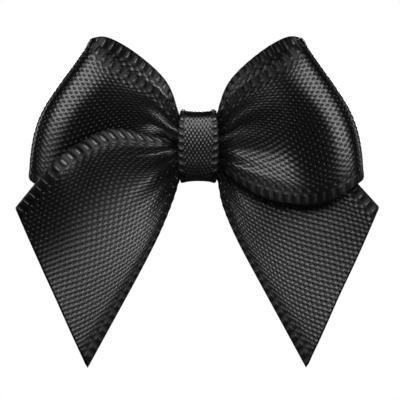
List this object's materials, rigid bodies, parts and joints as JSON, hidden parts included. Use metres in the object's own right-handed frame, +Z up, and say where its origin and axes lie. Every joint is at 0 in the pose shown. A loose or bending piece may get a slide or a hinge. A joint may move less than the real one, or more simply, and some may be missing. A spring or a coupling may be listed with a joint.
{
  "type": "ribbon bow",
  "caption": "Small black satin ribbon bow with loops, slant-cut hanging tails and a narrow wrap round the gathered waist.",
  "frame": {"origin": "centre of the waist, on the flat back of the wrap", "axes": "+Z up, +X to the viewer's right along the bow's width, front faces -Y"},
  "size_m": [0.0292, 0.0058, 0.0268],
  "materials": {
    "satin": "black satin ribbon with woven selvages",
    "narrow_satin": "narrow black satin ribbon",
    "thread": "matt black sewing thread",
    "glue": "clear set glue, slightly yellow"
  },
  "bodies": {
    "knot": {"centre_wrap": "narrow_satin", "gather_front": "satin", "gather_middle": "satin", "gather_back": "satin", "binding_thread": "thread", "wrap_glue": "glue"},
    "right_loop": {"right_loop": "satin"},
    "left_loop": {"left_loop": "satin"},
    "right_tail": {"right_tail": "satin"},
    "left_tail": {"left_tail": "satin"}
  },
  "joints": [
    {"name": "right_loop_bend", "type": "hinge", "parent": "knot", "child": "right_loop", "pos_m": [0.00205, -0.0024, 0.0005], "axis": [0, 0, -1], "range_deg": [0, 20], "stiffness_Nm_per_rad": 0.0001},
    {"name": "left_loop_bend", "type": "hinge", "parent": "knot", "child": "left_loop", "pos_m": [-0.00205, -0.0015, 0.0005], "axis": [0, 0, -1], "range_deg": [0, 15], "stiffness_Nm_per_rad": 0.0001},
    {"name": "right_tail_bend", "type": "hinge", "parent": "knot", "child": "right_tail", "pos_m": [0.00205, -0.0011, -0.0014], "axis": [0, 0, 1], "range_deg": [0, 30], "stiffness_Nm_per_rad": 0.0001},
    {"name": "left_tail_bend", "type": "hinge", "parent": "knot", "child": "left_tail", "pos_m": [-0.00205, -0.0028, -0.0014], "axis": [0, 0, 1], "range_deg": [0, 30], "stiffness_Nm_per_rad": 0.0001}
  ]
}
